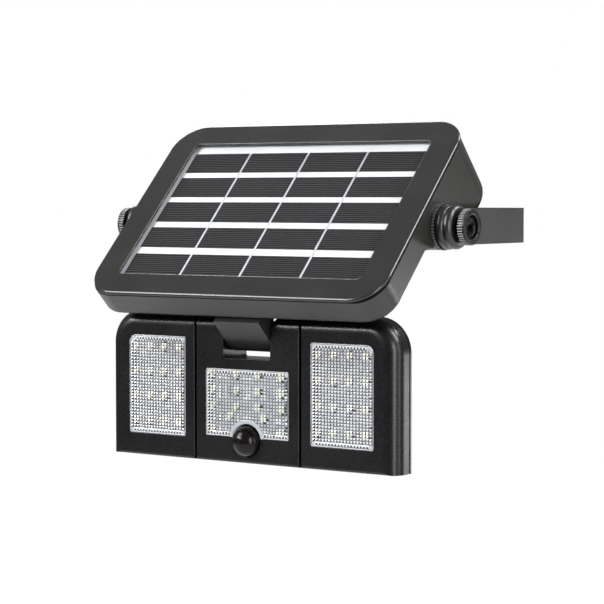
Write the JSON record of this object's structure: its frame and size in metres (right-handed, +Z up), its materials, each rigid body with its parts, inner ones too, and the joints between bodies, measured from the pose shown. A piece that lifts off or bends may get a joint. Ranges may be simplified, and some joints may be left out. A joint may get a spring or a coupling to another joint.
{
  "type": "solar flood light",
  "caption": "Tilting solar panel housing on a U-shaped wall bracket, with a folding wide lamp of square heads and a motion sensor dome hanging below it.",
  "frame": {"origin": "centre of the wall plate's back face, which lies against the wall", "axes": "+Y into the wall, +Z up, +X to the right seen from the front, so the light faces -Y"},
  "size_m": [0.2288, 0.1448, 0.1829],
  "materials": {
    "bracket_steel": "satin black powder coat on steel strip",
    "housing_black": "fine-textured black moulded plastic",
    "black_gloss": "smooth glossy black plastic",
    "lamp_black": "satin black moulded plastic",
    "nylon_washer": "black nylon",
    "seal_rubber": "soft black rubber",
    "screw_steel": "zinc-plated steel",
    "pin_steel": "plain ground steel",
    "panel_cover": "clear laminated cover",
    "backsheet_white": "white laminated backsheet",
    "silicon": "black monocrystalline silicon with fine silver fingers",
    "busbar_silver": "tinned ribbon",
    "battery_sleeve": "shrink sleeve",
    "inner_plastic": "black moulded plastic",
    "spring_plate": "nickel-plated spring strip",
    "circuit_board": "green solder mask",
    "component_black": "epoxy component bodies",
    "button_rubber": "soft black rubber cap",
    "wire_sleeve": "insulated wire",
    "insert_brass": "knurled brass",
    "diffuser_clear": "clear prismatic plastic",
    "led_board_white": "white solder mask",
    "led_package": "white package with yellow phosphor",
    "dome_smoke": "dark smoked polyethylene dome",
    "sensor_can": "nickel-plated can"
  },
  "bodies": {
    "bracket": {"wall_bracket": "bracket_steel", "pivot_collar_left": "black_gloss", "pivot_collar_right": "black_gloss", "friction_washers": "nylon_washer"},
    "housing": {"front_bezel": "housing_black", "rear_housing": "housing_black", "panel_gasket": "seal_rubber", "bezel_screws": "screw_steel", "solar_cover": "panel_cover", "solar_backsheet": "backsheet_white", "solar_cells": "silicon", "solar_busbars": "busbar_silver", "battery_cell": "battery_sleeve", "battery_holder": "inner_plastic", "battery_contacts": "spring_plate", "battery_cover": "housing_black", "battery_cover_screws": "screw_steel", "charge_board": "circuit_board", "board_components": "component_black", "tact_switch": "component_black", "battery_leads": "wire_sleeve", "hinge_arm": "housing_black", "hinge_arm_screws": "screw_steel", "knob_inserts": "insert_brass"},
    "mode_button": {"mode_button": "button_rubber"},
    "knob_left": {"knob_left": "black_gloss", "knob_screw_left": "screw_steel"},
    "knob_right": {"knob_right": "black_gloss", "knob_screw_right": "screw_steel"},
    "lamp_centre": {"centre_front_shell": "lamp_black", "centre_rear_shell": "lamp_black", "centre_screws": "screw_steel", "tilt_pin": "pin_steel", "wing_hinge_pins": "pin_steel", "centre_diffuser": "diffuser_clear", "centre_led_board": "led_board_white", "centre_leds": "led_package", "pir_dome": "dome_smoke", "pir_sensor": "sensor_can", "pir_board": "circuit_board"},
    "left_wing": {"left_front_shell": "lamp_black", "left_rear_cover": "lamp_black", "left_diffuser": "diffuser_clear", "left_led_board": "led_board_white", "left_leds": "led_package", "left_cover_screws": "screw_steel"},
    "right_wing": {"right_front_shell": "lamp_black", "right_rear_cover": "lamp_black", "right_diffuser": "diffuser_clear", "right_led_board": "led_board_white", "right_leds": "led_package", "right_cover_screws": "screw_steel"}
  },
  "joints": [
    {"name": "panel_tilt", "type": "hinge", "parent": "bracket", "child": "housing", "pos_m": [0, -0.082, 0], "axis": [1, 0, 0], "range_deg": [-30, 30]},
    {"name": "lamp_tilt", "type": "hinge", "parent": "housing", "child": "lamp_centre", "pos_m": [0, -0.1139, -0.0603], "axis": [1, 0, 0], "range_deg": [-60, 45]},
    {"name": "left_wing_swing", "type": "hinge", "parent": "lamp_centre", "child": "left_wing", "pos_m": [-0.0343, -0.1045, -0.087], "axis": [0, 0, -1], "range_deg": [0, 60]},
    {"name": "right_wing_swing", "type": "hinge", "parent": "lamp_centre", "child": "right_wing", "pos_m": [0.0343, -0.1045, -0.087], "axis": [0, 0, 1], "range_deg": [0, 60]},
    {"name": "left_knob_turn", "type": "hinge", "parent": "bracket", "child": "knob_left", "pos_m": [-0.112, -0.082, 0], "axis": [-1, 0, 0], "continuous": true},
    {"name": "right_knob_turn", "type": "hinge", "parent": "bracket", "child": "knob_right", "pos_m": [0.112, -0.082, 0], "axis": [1, 0, 0], "continuous": true},
    {"name": "mode_button_press", "type": "slide", "parent": "housing", "child": "mode_button", "axis": [0, -0.7071, 0.7071], "range_m": [0, 0.0008]}
  ]
}
